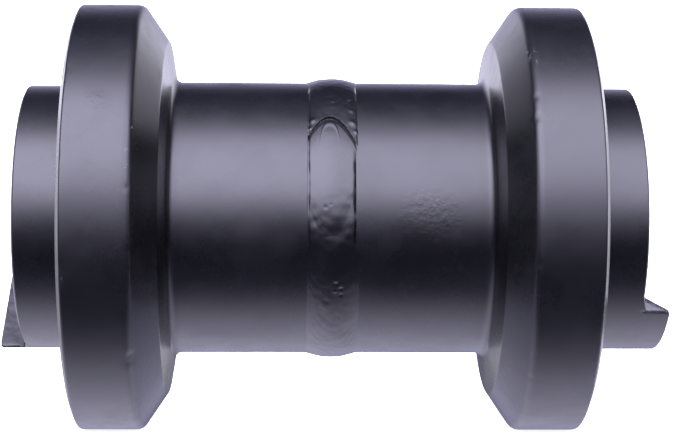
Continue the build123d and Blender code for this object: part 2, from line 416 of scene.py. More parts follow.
# Sizes of the paint's features across, in mm
THIN_PATCH = 22
NIB_SPACING, NIB_DRIFT = 9, 11
CHIP, CHIP_STRETCH = 1.5, 17
SCUFF, GLOSS_PATCH = 7, 30
GRAIN = 0.55
MARK = 1.5

# Heights of the paint's features, in mm, and patches of small dents as (place, radius)
SPECK_HEIGHT = 0.02
MARK_DEPTH = 0.1
SHELL_MARKS = [((28.6, -41.4, 1.0), 13), ((-65.2, -56.9, 31.4), 5)]

# Bare metal, rubber and the floor, in mm
TONE_PATCH, METAL_BUMP = 8, 0.004
BLOOM_PATCH, RUBBER_GRAIN, RUBBER_BUMP = 5, 0.4, 0.01
FLOOR_PATCH, FLOOR_GRAIN, FLOOR_BUMP = 400, 3, 0.02


def dust_nibs(n):
    """1 on a scatter of small nibs that comes in drifts."""
    nib_size = n.ramp(n.noise(NIB_DRIFT, detail=1), 0.5, 0.8, 0.0, 0.045)
    return n.math("LESS_THAN", n.cells(NIB_SPACING), nib_size)


def edge_chips(n):
    """1 on small chips, in stretches of the worn edges."""
    stretches = n.ramp(n.noise(CHIP_STRETCH, detail=1), 0.66, 0.72)
    chips = n.math("MULTIPLY", n.ramp(n.noise(CHIP, detail=2), 0.6, 0.66), stretches)
    return n.math("MULTIPLY", chips, n.ramp(n.attribute("wear"), 0.4, 0.9))


def enamel(
    name,
    orange_peel_mm=2.6,
    peel_height=0.008,
    roughness=(0.24, 0.31),
    grain_height=0.0035,
    colours=(ENAMEL, ENAMEL_THIN),
    marks=(),
):
    """Satin black enamel: orange peel, scuffs, dust nibs, and chips where edges are worn.

    marks are patches of small dents, as (place in mm, radius in mm)."""
    n = MaterialNodes(name)
    nibs, chips = dust_nibs(n), edge_chips(n)
    colour = n.mix_colour(n.ramp(n.noise(THIN_PATCH, detail=4), 0.35, 0.7), *colours)
    colour = n.mix_colour(n.math("MULTIPLY", nibs, SPECK_STRENGTH), colour, DUST)
    colour = n.mix_colour(n.math("MULTIPLY", chips, SPECK_STRENGTH), colour, BARE_STEEL)

    scuffs = n.ramp(n.noise(SCUFF, detail=6, roughness=0.7), 0.42, 0.68)
    rough = n.ramp(n.noise(GLOSS_PATCH, detail=3), 0.3, 0.7, *roughness)
    rough = n.math("ADD", rough, n.math("MULTIPLY", scuffs, 0.05))

    normal = n.bump(n.noise(orange_peel_mm, detail=2), peel_height)
    normal = n.bump(n.noise(GRAIN, detail=2), grain_height, under=normal)
    normal = n.bump(n.math("SUBTRACT", nibs, chips), SPECK_HEIGHT, under=normal)
    for place, radius in marks:
        dents = n.math("MULTIPLY", n.noise(MARK, detail=2), n.near(place, radius))
        normal = n.bump(dents, MARK_DEPTH, under=normal)
    n.set(IOR=ENAMEL_IOR)
    return n.finish(colour, rough, normal)


def metal(name, colour, worn_colour, roughness, grain_mm, grain_scale=(1, 1, 1)):
    """Bare metal with machining marks, patches of tone and uneven gloss."""
    n = MaterialNodes(name)
    tone = n.ramp(n.noise(TONE_PATCH, detail=4), 0.3, 0.75)
    marks = n.noise(grain_mm, detail=3, scale=grain_scale)
    rough = n.ramp(marks, 0.25, 0.8, *roughness)
    n.set(Metallic=1.0)
    return n.finish(n.mix_colour(tone, colour, worn_colour), rough, n.bump(marks, METAL_BUMP))


def rubber(name):
    """Matt black rubber with a fine grain and a dusting of bloom."""
    n = MaterialNodes(name)
    bloom = n.ramp(n.noise(BLOOM_PATCH, detail=5), 0.45, 0.8)
    colour = n.mix_colour(bloom, (0.012, 0.012, 0.013), (0.04, 0.04, 0.042))
    rough = n.ramp(bloom, 0.0, 1.0, 0.55, 0.8)
    return n.finish(colour, rough, n.bump(n.noise(RUBBER_GRAIN), RUBBER_BUMP))


TURNING_MARKS = (9, 0.4, 0.4)

paint_on_shell = enamel("paint_on_shell", marks=SHELL_MARKS)
paint_on_weld = enamel("paint_on_weld", orange_peel_mm=1.8, roughness=(0.22, 0.28))
paint_on_collars = enamel("paint_on_collars", orange_peel_mm=2.2, peel_height=0.006)
# The flats' rougher, lumpier enamel is real; its lighter colour is painted sheen
paint_and_sheen_on_flats = enamel(
    "paint_and_sheen_on_flats",
    orange_peel_mm=1.2,
    peel_height=0.05,
    roughness=(0.3, 0.42),
    grain_height=0.02,
    colours=(FLAT_SHEEN_ENAMEL, FLAT_SHEEN_ENAMEL_THIN),
)
shaft_steel = metal(
    "shaft_steel", (0.46, 0.45, 0.45), (0.3, 0.29, 0.28), (0.22, 0.4), 0.9, TURNING_MARKS
)
thread_steel = metal("thread_steel", (0.4, 0.38, 0.36), (0.2, 0.17, 0.14), (0.3, 0.5), 0.6)
spring_steel = metal("spring_steel", (0.1, 0.1, 0.105), (0.05, 0.05, 0.05), (0.38, 0.6), 0.5)
zinc_plate = metal("zinc_plate", (0.62, 0.6, 0.55), (0.45, 0.44, 0.43), (0.25, 0.42), 0.7)
copper = metal("copper", (0.6, 0.3, 0.2), (0.4, 0.2, 0.14), (0.35, 0.55), 0.8)
bronze = metal("bronze", (0.6, 0.42, 0.2), (0.42, 0.28, 0.14), (0.25, 0.42), 0.8, TURNING_MARKS)
seal_iron = metal(
    "seal_iron", (0.36, 0.36, 0.37), (0.24, 0.24, 0.25), (0.15, 0.35), 0.8, TURNING_MARKS
)
nitrile = rubber("nitrile")


# ---------------------------------------------------------------- shell halves

SHELL_SEGMENTS = 480
SHELL_LONGEST_CUT = 1.1
HALVES_GAP = 0.02
BUSH_SEAT_GAP = 0.02
BUSH_FLANGE_GAP = 0.05
RIM_FACE_ROUND = 1.5
RIM_WEAR_BAND = 4

# Forging unevenness, as (size across, height). It stops short of the weld groove and the face,
# and stands out only below the rim.
SHELL_WAVES = [(26, 0.05), (8, 0.018)]
WAVES_FADE = 2
WAVES_STOP = 0.6
WAVES_UNDER_RIM = 3

# Dents knocked into the rims
DENTS = 26
DENTS_ON_OUTER_EDGE = 0.6
DENT_WIDTHS = (0.8, 2.4)
DENT_DEPTHS = (0.1, 0.35)
DENTS_UNDER_RIM = 2.5


def shell_outline():
    """The right half's section: weld groove, oil cavity, bush seat, seal housing, labyrinth,
    flange and tread."""
    cavity_end, cavity_radius = OIL_CAVITY
    bush_seat = BUSH_SEAT_RADIUS + BUSH_SEAT_GAP
    bush_flange_seat = BUSH_FLANGE_RADIUS + BUSH_FLANGE_GAP
    return [
        (WELD_GROOVE_HALF_WIDTH, TREAD_RADIUS, 0),
        (WELD_ROOT_HALF_WIDTH, WELD_ROOT_RADIUS, 0),
        (HALVES_GAP, WELD_ROOT_RADIUS, 0),
        (HALVES_GAP, cavity_radius, 0),
        (cavity_end, cavity_radius, 0),
        (cavity_end, bush_seat, 0),
        (BUSH_FLANGE_INNER, bush_seat, 0),
        (BUSH_FLANGE_INNER, bush_flange_seat, 0),
        (SHELL_SEAL_FLOOR, bush_flange_seat, 0),
        (SHELL_SEAL_FLOOR, SEAL_FLOOR_RADIUS, 0),
        (SEAL_FACE, SEAL_MOUTH_RADIUS, 0),
        (SEAL_FACE, LABYRINTH_RADIUS, 0),
        (SHELL_FACE, LABYRINTH_RADIUS, LABYRINTH_BEVEL),
        (SHELL_FACE, FLANGE_RADIUS - RIM_BEVEL_DEPTH, RIM_FACE_ROUND),
        (SHELL_FACE - RIM_BEVEL_WIDTH, FLANGE_RADIUS, RIM_OUTER_ROUND),
        (RIM_INNER_EDGE, FLANGE_RADIUS, RIM_INNER_ROUND),
        (*CONE_FOOT, CONE_FOOT_ROUND),
        (FLANGE_WALL_FOOT, TREAD_RADIUS, TREAD_FILLET),
    ]


def shell_push(seed):
    """Forging unevenness, and a few dents knocked into the rims."""
    random = np.random.default_rng(seed)
    dents = [
        (
            random.uniform(0, 2 * math.pi),
            SHELL_FACE if random.random() < DENTS_ON_OUTER_EDGE else RIM_INNER_EDGE,
            random.uniform(*DENT_WIDTHS),
            random.uniform(*DENT_DEPTHS),
        )
        for _ in range(DENTS)
    ]
    waves_end = SHELL_FACE - WAVES_STOP
    inner_limit = (WELD_GROOVE_HALF_WIDTH, WELD_GROOVE_HALF_WIDTH + WAVES_FADE)
    outer_limit = (waves_end, waves_end - WAVES_FADE)

    def push(x, radius, angle):
        outside = radius >= TREAD_RADIUS - 0.01
        on_rim = radius > FLANGE_RADIUS - DENTS_UNDER_RIM
        y, z = radius * np.cos(angle), radius * np.sin(angle)
        waves = 0
        for step, (size, height) in enumerate(SHELL_WAVES):
            waves = waves + smooth_noise(x, y, z, size, seed + step) * height
        waves = waves * between(x, inner_limit, outer_limit)
        moved = np.minimum(waves, 0.0) + waves * (radius < FLANGE_RADIUS - WAVES_UNDER_RIM)
        for where, edge, width, depth in dents:
            turn = (angle - where + math.pi) % (2 * math.pi) - math.pi
            along = ((x - edge) ** 2 + (turn * radius) ** 2) / width**2
            moved = moved - depth * np.exp(-along * 2) * on_rim
        return np.where(outside, moved, 0.0)

    return push


def on_tread_side(a, b):
    return min(a.y, b.y) > TREAD_RADIUS - 0.1


def make_shell(side_name):
    """One half of the shell, with its rims worn and its outer skin cut fine."""
    side = SIDES[side_name]
    points, wear = rounded(shell_outline())
    rim_start = FLANGE_RADIUS - RIM_WEAR_BAND
    wear = [amount * (point.y > rim_start) for point, amount in zip(points, wear)]
    points, wear = divided(points, wear, SHELL_LONGEST_CUT, on_tread_side)
    name = f"{side_name}_shell_half"
    piece = turned(name, points, wear, SHELL_SEGMENTS, side, shell_push(3 + side))
    piece.data.materials.append(paint_on_shell)
    stands_for(piece, f"{side_name}_shell", "shell")


# ---------------------------------------------------------------- weld bead

# The bead is cut finer over its front stretch of angles, where the crater is
WELD_FRONT = (-0.7, 1.1)
WELD_FRONT_STEPS = 1000
WELD_BACK_STEPS = 600
WELD_STEPS_ACROSS = 96
WELD_MIDDLE = (WELD_LEFT + WELD_RIGHT) / 2
WELD_HALF_WIDTH = (WELD_RIGHT - WELD_LEFT) / 2
WELD_HEIGHT = WELD_TOP - TREAD_RADIUS
WELD_CROWN = WELD_HEIGHT - 0.12
CROWN_POWER = 1.1
BEAD_RADIUS = TREAD_RADIUS + 1

# The toes stand in from the CAD's, give or take a swing, and dip just under the tread
TOE_INSET, TOE_SWING, TOE_SWING_SIZE, TOE_SEED = 0.15, 0.25, 7, 21
TOE_CLEARANCE, TOP_CLEARANCE = 0.02, 0.01
TOE_SINK = 0.05
TOE_NOISE_RADIUS = 40
TOE_NOISE_PLACES = (0.0, 60.0)

# Lumps and wanderings are (size across, height, noise seed)
BEAD_LUMPS = [(6, 0.12, 11), (2.2, 0.05, 14)]
CRATER_FILL = 0.7

# Ripples of the weld pool, which wander by shares of their pitch and come in patches
RIPPLE_PITCH = 4.2
RIPPLE_REACH = 12.0
RIPPLE_HEIGHT = 0.05
RIPPLE_POWER = 0.8
RIPPLE_MEAN = 0.6
RIPPLE_WANDER = (8, 0.8, 12)
RIPPLE_PATCHES = (7, 1.6, 13)
RIPPLE_PATCH_MEAN = 0.6

# The crater where the weld stopped over its own start, by angle up from the front. Its profile is
# by the depth inside its top edge, and its skirt by the distance above its bottom.
CRATER_BOTTOM, CRATER_TOP = math.radians(-2), math.radians(44)
CRATER_TOP_REACH, CRATER_TOP_POWER = 9.2, 1.8
CRATER_BOTTOM_REACH, CRATER_BOTTOM_POWER = 16.0, 2.2
CRATER_OFFSET = 0.14
CRATER_LIMITS = [(0.1, 0.3), (1.0, 0.9)]
CRATER_PROFILE = [
    (-3, 0),
    (0, 0.08),
    (0.45, -0.9),
    (0.6, -0.95),
    (1.0, -0.42),
    (2.4, -0.14),
    (6, -0.08),
]
CRATER_SKIRT = [(-9, 0), (-4, -0.15), (1.5, 0)]
CRATER_TOP_WANDER = (3, 0.25, 15)
CRATER_BOTTOM_WANDER = (3, 1.2, 18)
CRATER_TOE_LOSS = 0.55
CRATER_END, CRATER_END_SPREAD = -0.06, 0.16
CRATER_END_LUMPS = (2.6, 0.13, 17)

# The raised horseshoe inside the crater's top edge
HORSESHOE_DEPTH = 3.0
HORSESHOE_HALF_WIDTH = 0.33
HORSESHOE_SPREAD = 0.85
HORSESHOE_HEIGHT = 0.13
HORSESHOE_ENDS = (0.475, 0.225)

# Undercut toes, as (place across, spread, depth), and the angles where they are
UNDERCUT, UNDERCUT_LIMITS = (0.95, 0.05, 0.18), [(-0.28, -0.03), (1.3, 1.15)]
WIDE_UNDERCUT, WIDE_UNDERCUT_LIMITS = (0.88, 0.1, 0.55), [(-0.3, -0.18), (0.55, 0.3)]
UNDERCUT_RAGGED = (3.5, 0.8, 16)

# pits and spatter beads: (angle, place across, radius mm, rise mm)
WELD_SPOTS = [
    (0.93, 0.0, 0.5, 0.22),
    (0.07, -0.3, 0.6, -0.08),
    (0.09, -0.1, 0.5, -0.05),
    (-0.46, 0.1, 0.5, -0.26),
    (-0.5, 0.3, 0.45, -0.24),
    (-0.52, 0.08, 0.5, 0.16),
    (-0.55, 0.3, 0.6, -0.16),
    (-0.6, -0.25, 0.9, -0.08),
    (0.84, 0.72, 0.8, 0.2),
    (0.96, 0.62, 0.6, -0.2),
    (0.74, -0.8, 1.0, 0.26),
    (0.67, -0.92, 0.6, 0.2),
    (0.72, 0.75, 1.0, 0.26),
    (0.64, 0.88, 0.7, 0.22),
]


class OnBead:
    """Places on the bead, all as grids.

    angle is measured up from the side that faces the camera; across runs from -1 to 1."""

    def __init__(self, angle, across):
        self.across = across
        self.edge = np.abs(across)
        self.x = across * WELD_HALF_WIDTH
        self.y, self.z = TREAD_RADIUS * np.cos(angle), TREAD_RADIUS * np.sin(angle)
        self.turn = (angle + math.pi) % (2 * math.pi) - math.pi
        self.arc = self.turn * BEAD_RADIUS
        self.aside = np.abs(across + CRATER_OFFSET)
        top = CRATER_TOP * BEAD_RADIUS - CRATER_TOP_REACH * self.aside**CRATER_TOP_POWER
        bottom = CRATER_BOTTOM_REACH * self.aside**CRATER_BOTTOM_POWER
        self.below_top = top - self.arc
        self.above_bottom = self.arc - CRATER_BOTTOM * BEAD_RADIUS - bottom
        self.in_crater = fade(self.below_top, 0, 0.8) * fade(self.above_bottom, -1.25, 1.25)

    def lumps(self, size, height, seed):
        return height * smooth_noise(self.x, self.y, self.z, size, seed)


def bead_body(at):
    """The crown and its lumps, which are lower inside the crater."""
    crown = WELD_CROWN * (1 - at.edge**2) ** CROWN_POWER
    lumps = sum(at.lumps(*layer) for layer in BEAD_LUMPS)
    rough_end = bell(at.turn, CRATER_END, CRATER_END_SPREAD) * at.lumps(*CRATER_END_LUMPS)
    return crown + (lumps + rough_end) * (1 - at.edge**4) - CRATER_FILL * lumps * at.in_crater


def bead_ripples(at):
    """The curved ripples of the travelling weld pool, uneven and half filled by paint."""
    along = (at.arc - RIPPLE_REACH * at.across**2) / RIPPLE_PITCH + at.lumps(*RIPPLE_WANDER)
    ripple = np.abs(np.sin(math.pi * along)) ** RIPPLE_POWER - RIPPLE_MEAN
    strength = RIPPLE_HEIGHT * np.clip(RIPPLE_PATCH_MEAN + at.lumps(*RIPPLE_PATCHES), 0, 2)
    return strength * ripple * (1 - at.edge**3) * (1 - at.in_crater)


def bead_crater(at):
    """The step at the crater's top edge, the horseshoe inside it and the skirt at its bottom."""
    depths, rises = zip(*CRATER_PROFILE)
    step = np.interp(at.below_top + at.lumps(*CRATER_TOP_WANDER), depths, rises)
    step = step * (1 - CRATER_TOE_LOSS * at.edge)
    horseshoe_top = HORSESHOE_DEPTH * (at.aside / HORSESHOE_HALF_WIDTH) ** 4
    horseshoe = bell(at.below_top - horseshoe_top, HORSESHOE_DEPTH, HORSESHOE_SPREAD)
    horseshoe = HORSESHOE_HEIGHT * horseshoe * fade(at.aside, *HORSESHOE_ENDS)
    distances, drops = zip(*CRATER_SKIRT)
    skirt = np.interp(at.above_bottom + at.lumps(*CRATER_BOTTOM_WANDER), distances, drops)
    skirt = skirt * (at.below_top > 0) * (1 - at.edge**4)
    return (step + horseshoe) * between(at.turn, *CRATER_LIMITS) + skirt


def toe_undercut(at):
    """The undercut toes beside the crater, wider and ragged on its right."""
    size, swing, seed = UNDERCUT_RAGGED
    ragged = 1 + swing * smooth_noise(0 * at.x, at.y, at.z, size, seed)
    place, spread, depth = UNDERCUT
    undercut = depth * bell(at.edge, place, spread)
    place, spread, depth = WIDE_UNDERCUT
    low_right = between(at.turn, *WIDE_UNDERCUT_LIMITS) * (at.across > 0)
    undercut = undercut + depth * low_right * bell(at.edge, place, spread)
    return undercut * ragged * between(at.turn, *UNDERCUT_LIMITS)


def bead_spots(at):
    """The pits and spatter beads."""
    height = 0
    for turn, across, radius, rise in WELD_SPOTS:
        up = (at.turn - turn) * TREAD_RADIUS
        aside = (at.across - across) * WELD_HALF_WIDTH
        height = height + rise * np.exp(-(up**2 + aside**2) / radius**2)
    return height


def weld_height(angle, across):
    """Height of the bead over the tread, in mm, from 0 at the toes."""
    at = OnBead(angle, across)
    return bead_body(at) + bead_ripples(at) + bead_crater(at) - toe_undercut(at) + bead_spots(at)


def toe_half_width(angles, noise_place):
    """How far a toe is from the bead's middle at each angle."""
    y, z = TOE_NOISE_RADIUS * np.cos(angles), TOE_NOISE_RADIUS * np.sin(angles)
    x = np.full_like(angles, noise_place)
    wander = TOE_SWING * smooth_noise(x, y, z, TOE_SWING_SIZE, TOE_SEED)
    half_width = WELD_HALF_WIDTH - np.maximum(TOE_INSET - wander, TOE_CLEARANCE)
    return half_width[:, None]


def make_weld():
    """The bead's skin, closed underneath by the V groove."""
    first, last = WELD_FRONT
    front = np.linspace(first, last, WELD_FRONT_STEPS, endpoint=False)
    back = np.linspace(last, first + 2 * math.pi, WELD_BACK_STEPS, endpoint=False)
    angles = np.concatenate((front, back))
    spread = np.linspace(-1, 1, WELD_STEPS_ACROSS + 1)
    grid_a, across = np.meshgrid(angles, spread, indexing="ij")

    left, right = (toe_half_width(angles, place) for place in TOE_NOISE_PLACES)
    skin_x = WELD_MIDDLE + across * np.where(across < 0, left, right)
    height = np.minimum(weld_height(grid_a, across), WELD_HEIGHT - TOP_CLEARANCE)
    skin_r = TREAD_RADIUS + height
    skin_r[:, [0, -1]] = TREAD_RADIUS - TOE_SINK

    flank = [
        (WELD_GROOVE_HALF_WIDTH, TREAD_RADIUS - TOE_SINK),
        (WELD_ROOT_HALF_WIDTH, WELD_ROOT_RADIUS),
    ]
    groove = flank + [(-x, radius) for x, radius in reversed(flank)]
    groove_x, groove_r = (np.tile(values, (len(angles), 1)) for values in zip(*groove))
    all_x = np.concatenate((skin_x, groove_x), axis=1)
    all_r = np.concatenate((skin_r, groove_r), axis=1)
    vertices = about_axis(all_x, all_r, angles[:, None])
    faces = net_faces(*all_x.shape)
    piece = new_object("weld_bead", vertices, faces, {"wear": np.zeros(len(vertices))})
    piece.data.materials.append(paint_on_weld)
    stands_for(piece, "shell_weld", "shell")


# ---------------------------------------------------------------- end collars

COLLAR_NOSE_ROUND = 0.5
COLLAR_SKIN_STARTS = COLLAR_NOSE + 4
COLLAR_SKIN_ENDS = COLLAR_FACE - 1.6
# the rim's bevel, by shares of its width and depth, and how it runs out beside the lug
COLLAR_RIM_WIDTH, COLLAR_RIM_DEPTH = 0.6, 1.3
COLLAR_RIM_STEPS = (-0.3, 0.15, 0.4, 0.65, 0.85, 1.1)
RIM_RUNOUT_ANGLE = 0.06
BORE_LIP = COUNTERBORE_RADIUS + COLLAR_EDGE_BEVEL
LIP_CLEARANCE = 0.02
LIP_WIDTH = 0.01
ROOT_SUPPORT_WIDTH = 0.5
COLLAR_INSIDE = [
    (COLLAR_FACE - COLLAR_EDGE_BEVEL, COUNTERBORE_RADIUS),
    (COUNTERBORE_FLOOR, COUNTERBORE_RADIUS),
    (COUNTERBORE_FLOOR, COLLAR_BORE_RADIUS),
    (O_RING_GROOVE[1], COLLAR_BORE_RADIUS),
    (O_RING_GROOVE[1], O_RING_GROOVE_RADIUS),
    (O_RING_GROOVE[0], O_RING_GROOVE_RADIUS),
    (O_RING_GROOVE[0], COLLAR_BORE_RADIUS),
    (COLLAR_INNER_END, COLLAR_BORE_RADIUS),
    (COLLAR_INNER_END, COLLAR_BOSS_RADIUS),
    (COLLAR_SEAL_FLOOR, COLLAR_BOSS_RADIUS),
    (COLLAR_SEAL_FLOOR, SEAL_FLOOR_RADIUS),
    (COLLAR_NOSE, SEAL_MOUTH_RADIUS),
]

ARC_STEPS = 5
LUG_ROOT_ROUND = 2.0
LUG_EDGE_ROUND = 0.4
LUG_OUTER_ROUND = {"left": 1.7, "right": 0.5}
LUG_CORNER_ROUND = 0.55
LUG_PLAN_ROUND = 1.4
LUG_ROUND_LIMIT = 0.45
LUG_ROOT = COLLAR_FACE + LUG_ROOT_ROUND
LUG_FLAT_STEPS = np.linspace(0.95, 0.05, 12)
LUG_SKIN_POINTS = 1 + 2 * (ARC_STEPS + 1) + len(LUG_FLAT_STEPS)

# Sections across the lug, its corner, its root, the rim's run-out and the rest of the collar
LUG_STEPS, CORNER_STEPS, ROOT_STEPS, RUNOUT_STEPS, REST_STEPS = 97, 12, 8, 5, 180

# Angles from the middle of the lug to where its outer side, its flat, the whole lug and the
# round at its root end
LUG_CORNER_CENTRE = COLLAR_RADIUS - LUG_CORNER_ROUND
LUG_OUTER_ANGLE = math.acos((LUG_FLAT_DISTANCE + LUG_CORNER_ROUND) / LUG_CORNER_CENTRE)
LUG_FLAT_END_ANGLE = math.atan2(
    LUG_CORNER_CENTRE * math.sin(LUG_OUTER_ANGLE), LUG_FLAT_DISTANCE
)
LUG_END_ANGLE = LUG_OUTER_ANGLE + math.asin(LUG_CORNER_ROUND / LUG_CORNER_CENTRE)
ROOT_END_ANGLE = math.acos((LUG_FLAT_DISTANCE - LUG_ROOT_ROUND) / COLLAR_RADIUS)

# The flats' paint: how far it stands out, and its lumps as (size across, height)
LUG_RISE = {"left": 0.0, "right": 0.7}
FLAT_LUMPS = [(3.0, 0.3), (1.1, 0.15)]
FLAT_NOISE_PLACE = 7.0
FLAT_PAINT_STARTS = COLLAR_FACE + 0.6


def arc(centre, start_degrees, end_degrees, radius):
    """Points (x, radius) along an arc of a section."""
    points = []
    for step in range(ARC_STEPS + 1):
        turn = math.radians(start_degrees + (end_degrees - start_degrees) * step / ARC_STEPS)
        points.append((centre[0] + radius * math.cos(turn), centre[1] + radius * math.sin(turn)))
    return points


def lug_span(angle):
    """Where a ray from the axis meets the lug's flat and its outer side."""
    away = abs(angle)
    along = LUG_CORNER_CENTRE * math.cos(away - LUG_OUTER_ANGLE)
    miss = LUG_CORNER_CENTRE * math.sin(away - LUG_OUTER_ANGLE)
    reach = math.sqrt(max(LUG_CORNER_ROUND**2 - miss**2, 0))
    flat = LUG_FLAT_DISTANCE / math.cos(away) if away < LUG_FLAT_END_ANGLE else along - reach
    outer = COLLAR_RADIUS if away < LUG_OUTER_ANGLE else along + reach
    return flat, outer


def notch_root(angle):
    """The round between the lug's flat and the collar's face, as far as it is under the skin."""
    start = max(LUG_FLAT_DISTANCE - COLLAR_RADIUS * math.cos(angle), 0)
    first = math.acos(1 - start / LUG_ROOT_ROUND)
    points = []
    for step in range(ARC_STEPS + 1):
        turn = first + (math.pi / 2 - first) * step / ARC_STEPS
        height = LUG_FLAT_DISTANCE - LUG_ROOT_ROUND * (1 - math.cos(turn))
        points.append(
            (COLLAR_FACE + LUG_ROOT_ROUND * (1 - math.sin(turn)), height / math.cos(angle))
        )
    return points


def rim_skin(away):
    """The collar's skin from its nose to the rim, which is bevelled except beside the lug."""
    nose = COLLAR_NOSE_ROUND
    skin = arc((COLLAR_NOSE + nose, COLLAR_RADIUS - nose), 180, 90, nose)
    skin += [(COLLAR_SKIN_STARTS, COLLAR_RADIUS), (COLLAR_SKIN_ENDS, COLLAR_RADIUS)]
    bevel = min(max((away - ROOT_END_ANGLE) / RIM_RUNOUT_ANGLE, 0), 1)
    for step in COLLAR_RIM_STEPS:
        x = COLLAR_FACE - bevel * COLLAR_RIM_WIDTH * (1 - min(step, 1))
        skin.append((x, COLLAR_RADIUS - bevel * COLLAR_RIM_DEPTH * max(step, 0)))
    return skin


def lug_skin(angle, flat_rise, outer_round):
    """The lug's outer side, tip and flat."""
    flat, outer = lug_span(angle)
    edge = min(LUG_EDGE_ROUND, LUG_ROUND_LIMIT * (outer - flat))
    heel = min(outer_round, LUG_ROUND_LIMIT * (outer - flat))
    inside = max(LUG_PLAN_ROUND - (LUG_END_ANGLE - abs(angle)) * COLLAR_RADIUS, 0)
    tip = LUG_TIP - LUG_PLAN_ROUND + math.sqrt(LUG_PLAN_ROUND**2 - inside**2)
    skin = [(COLLAR_FACE, outer)]
    skin += arc((tip - heel, outer - heel), 90, 0, heel)
    skin += arc((tip - edge, flat + edge), 0, -90, edge)
    for step in LUG_FLAT_STEPS:
        x = LUG_ROOT + (tip - edge - LUG_ROOT) * step
        skin.append((x, flat + flat_rise(x, angle)))
    return skin


def collar_section(angle, flat_rise, outer_round):
    """The collar's section at an angle from the middle of its lug, and its wear.

    All sections have as many points. Where there is no lug, its points are together at the rim."""
    away = abs(angle)
    skin = rim_skin(away)
    root = notch_root(angle) if away < ROOT_END_ANGLE else [skin[-1]] * (ARC_STEPS + 1)
    if away < LUG_END_ANGLE:
        skin += lug_skin(angle, flat_rise, outer_round)
    else:
        skin += [root[0]] * LUG_SKIN_POINTS
    skin += root
    face_start = root[-1][1]
    lip = min(BORE_LIP, face_start - LIP_CLEARANCE)
    support = max(lip + LIP_WIDTH, face_start - ROOT_SUPPORT_WIDTH)
    unworn = [(COLLAR_FACE, support), (COLLAR_FACE, lip)] + COLLAR_INSIDE
    wear = [1.0] * (len(skin) - 1) + [0.0] * (1 + len(unworn))
    nose_points = ARC_STEPS + 1
    wear[nose_points : nose_points + 2] = [0.0, 0.0]
    return skin + unworn, wear


def collar_angles():
    """Angles round the collar, close together at the lug's rounded ends."""
    lug = list(np.linspace(-LUG_OUTER_ANGLE, LUG_OUTER_ANGLE, LUG_STEPS))
    corner_span = LUG_END_ANGLE - LUG_OUTER_ANGLE
    corner = [
        LUG_OUTER_ANGLE + corner_span * math.sin(math.pi / 2 * step / CORNER_STEPS)
        for step in range(1, CORNER_STEPS)
    ]
    corner += [LUG_END_ANGLE - 1e-6, LUG_END_ANGLE + 1e-6]
    rest_start = ROOT_END_ANGLE + RIM_RUNOUT_ANGLE
    corner += list(np.linspace(LUG_END_ANGLE, ROOT_END_ANGLE, ROOT_STEPS))[1:]
    corner += list(np.linspace(ROOT_END_ANGLE, rest_start, RUNOUT_STEPS))[1:]
    rest = list(np.linspace(rest_start, 2 * math.pi - rest_start, REST_STEPS))[1:-1]
    return [-angle for angle in reversed(corner)] + lug + corner + rest


def lumpy_flat(side_name):
    """How far a flat's paint stands out, by the place along X and the angle."""

    def rise(x, angle):
        across = LUG_FLAT_DISTANCE * math.tan(angle)
        spot = Vector((x, across, SIDES[side_name] * FLAT_NOISE_PLACE))
        lumps = [height * noise.noise(spot / size) for size, height in FLAT_LUMPS]
        return LUG_RISE[side_name] + sum(lumps)

    return rise


def make_collar(side_name):
    """A round collar with its half-moon lug, swept through sections round the axis."""
    side = SIDES[side_name]
    lean = math.radians(LUG_TILT[side_name])
    lug_way = Vector((0, math.sin(lean), -math.cos(lean)))
    along = Vector((0, math.cos(lean), math.sin(lean)))
    flat_rise = lumpy_flat(side_name)

    vertices, worn = [], []
    angles = collar_angles()
    for angle in angles:
        section, wear = collar_section(angle, flat_rise, LUG_OUTER_ROUND[side_name])
        ray = lug_way * math.cos(angle) + along * math.sin(angle)
        for (x, radius), amount in zip(section, wear):
            vertices.append((ray * radius + Vector((side * x, 0, 0))) * MM)
            worn.append(amount)
    faces = net_faces(len(angles), len(vertices) // len(angles))
    piece = new_object(f"{side_name}_end_collar", vertices, faces, {"wear": worn})
    piece.data.materials.append(paint_on_collars)
    piece.data.materials.append(paint_and_sheen_on_flats)
    # the faces of the lug flats take the enamel with the painted sheen
    for face in piece.data.polygons:
        on_lug = abs(face.center.x) > FLAT_PAINT_STARTS * MM
        face.material_index = int(on_lug and face.normal.dot(lug_way) < -0.8)
    stands_for(piece, f"{side_name}_collar", f"{side_name}_collar")


# ---------------------------------------------------------------- shaft

SHAFT_SEGMENTS = 144
SHAFT_BORE_RADIUS = 5.2
SHAFT_PAINT_DEPTH = 2.2
MOUTH_BEVEL = 1
MOUTH_WIDENING = 0.8

# The M16 threads' ridge
THREAD_MAJOR_RADIUS = 8
THREAD_MINOR_RADIUS = 7
THREAD_PITCH = 2
THREAD_STEPS = 64
THREAD_ROOT_END = 67.2
THREAD_START = THREAD_ROOT_END + 1
THREAD_END_GAP = 1.2
THREAD_SINK = 0.04
RIDGE_FOOT, RIDGE_TOP = 0.95, 0.14
RIDGE_FADE_STEPS = 20


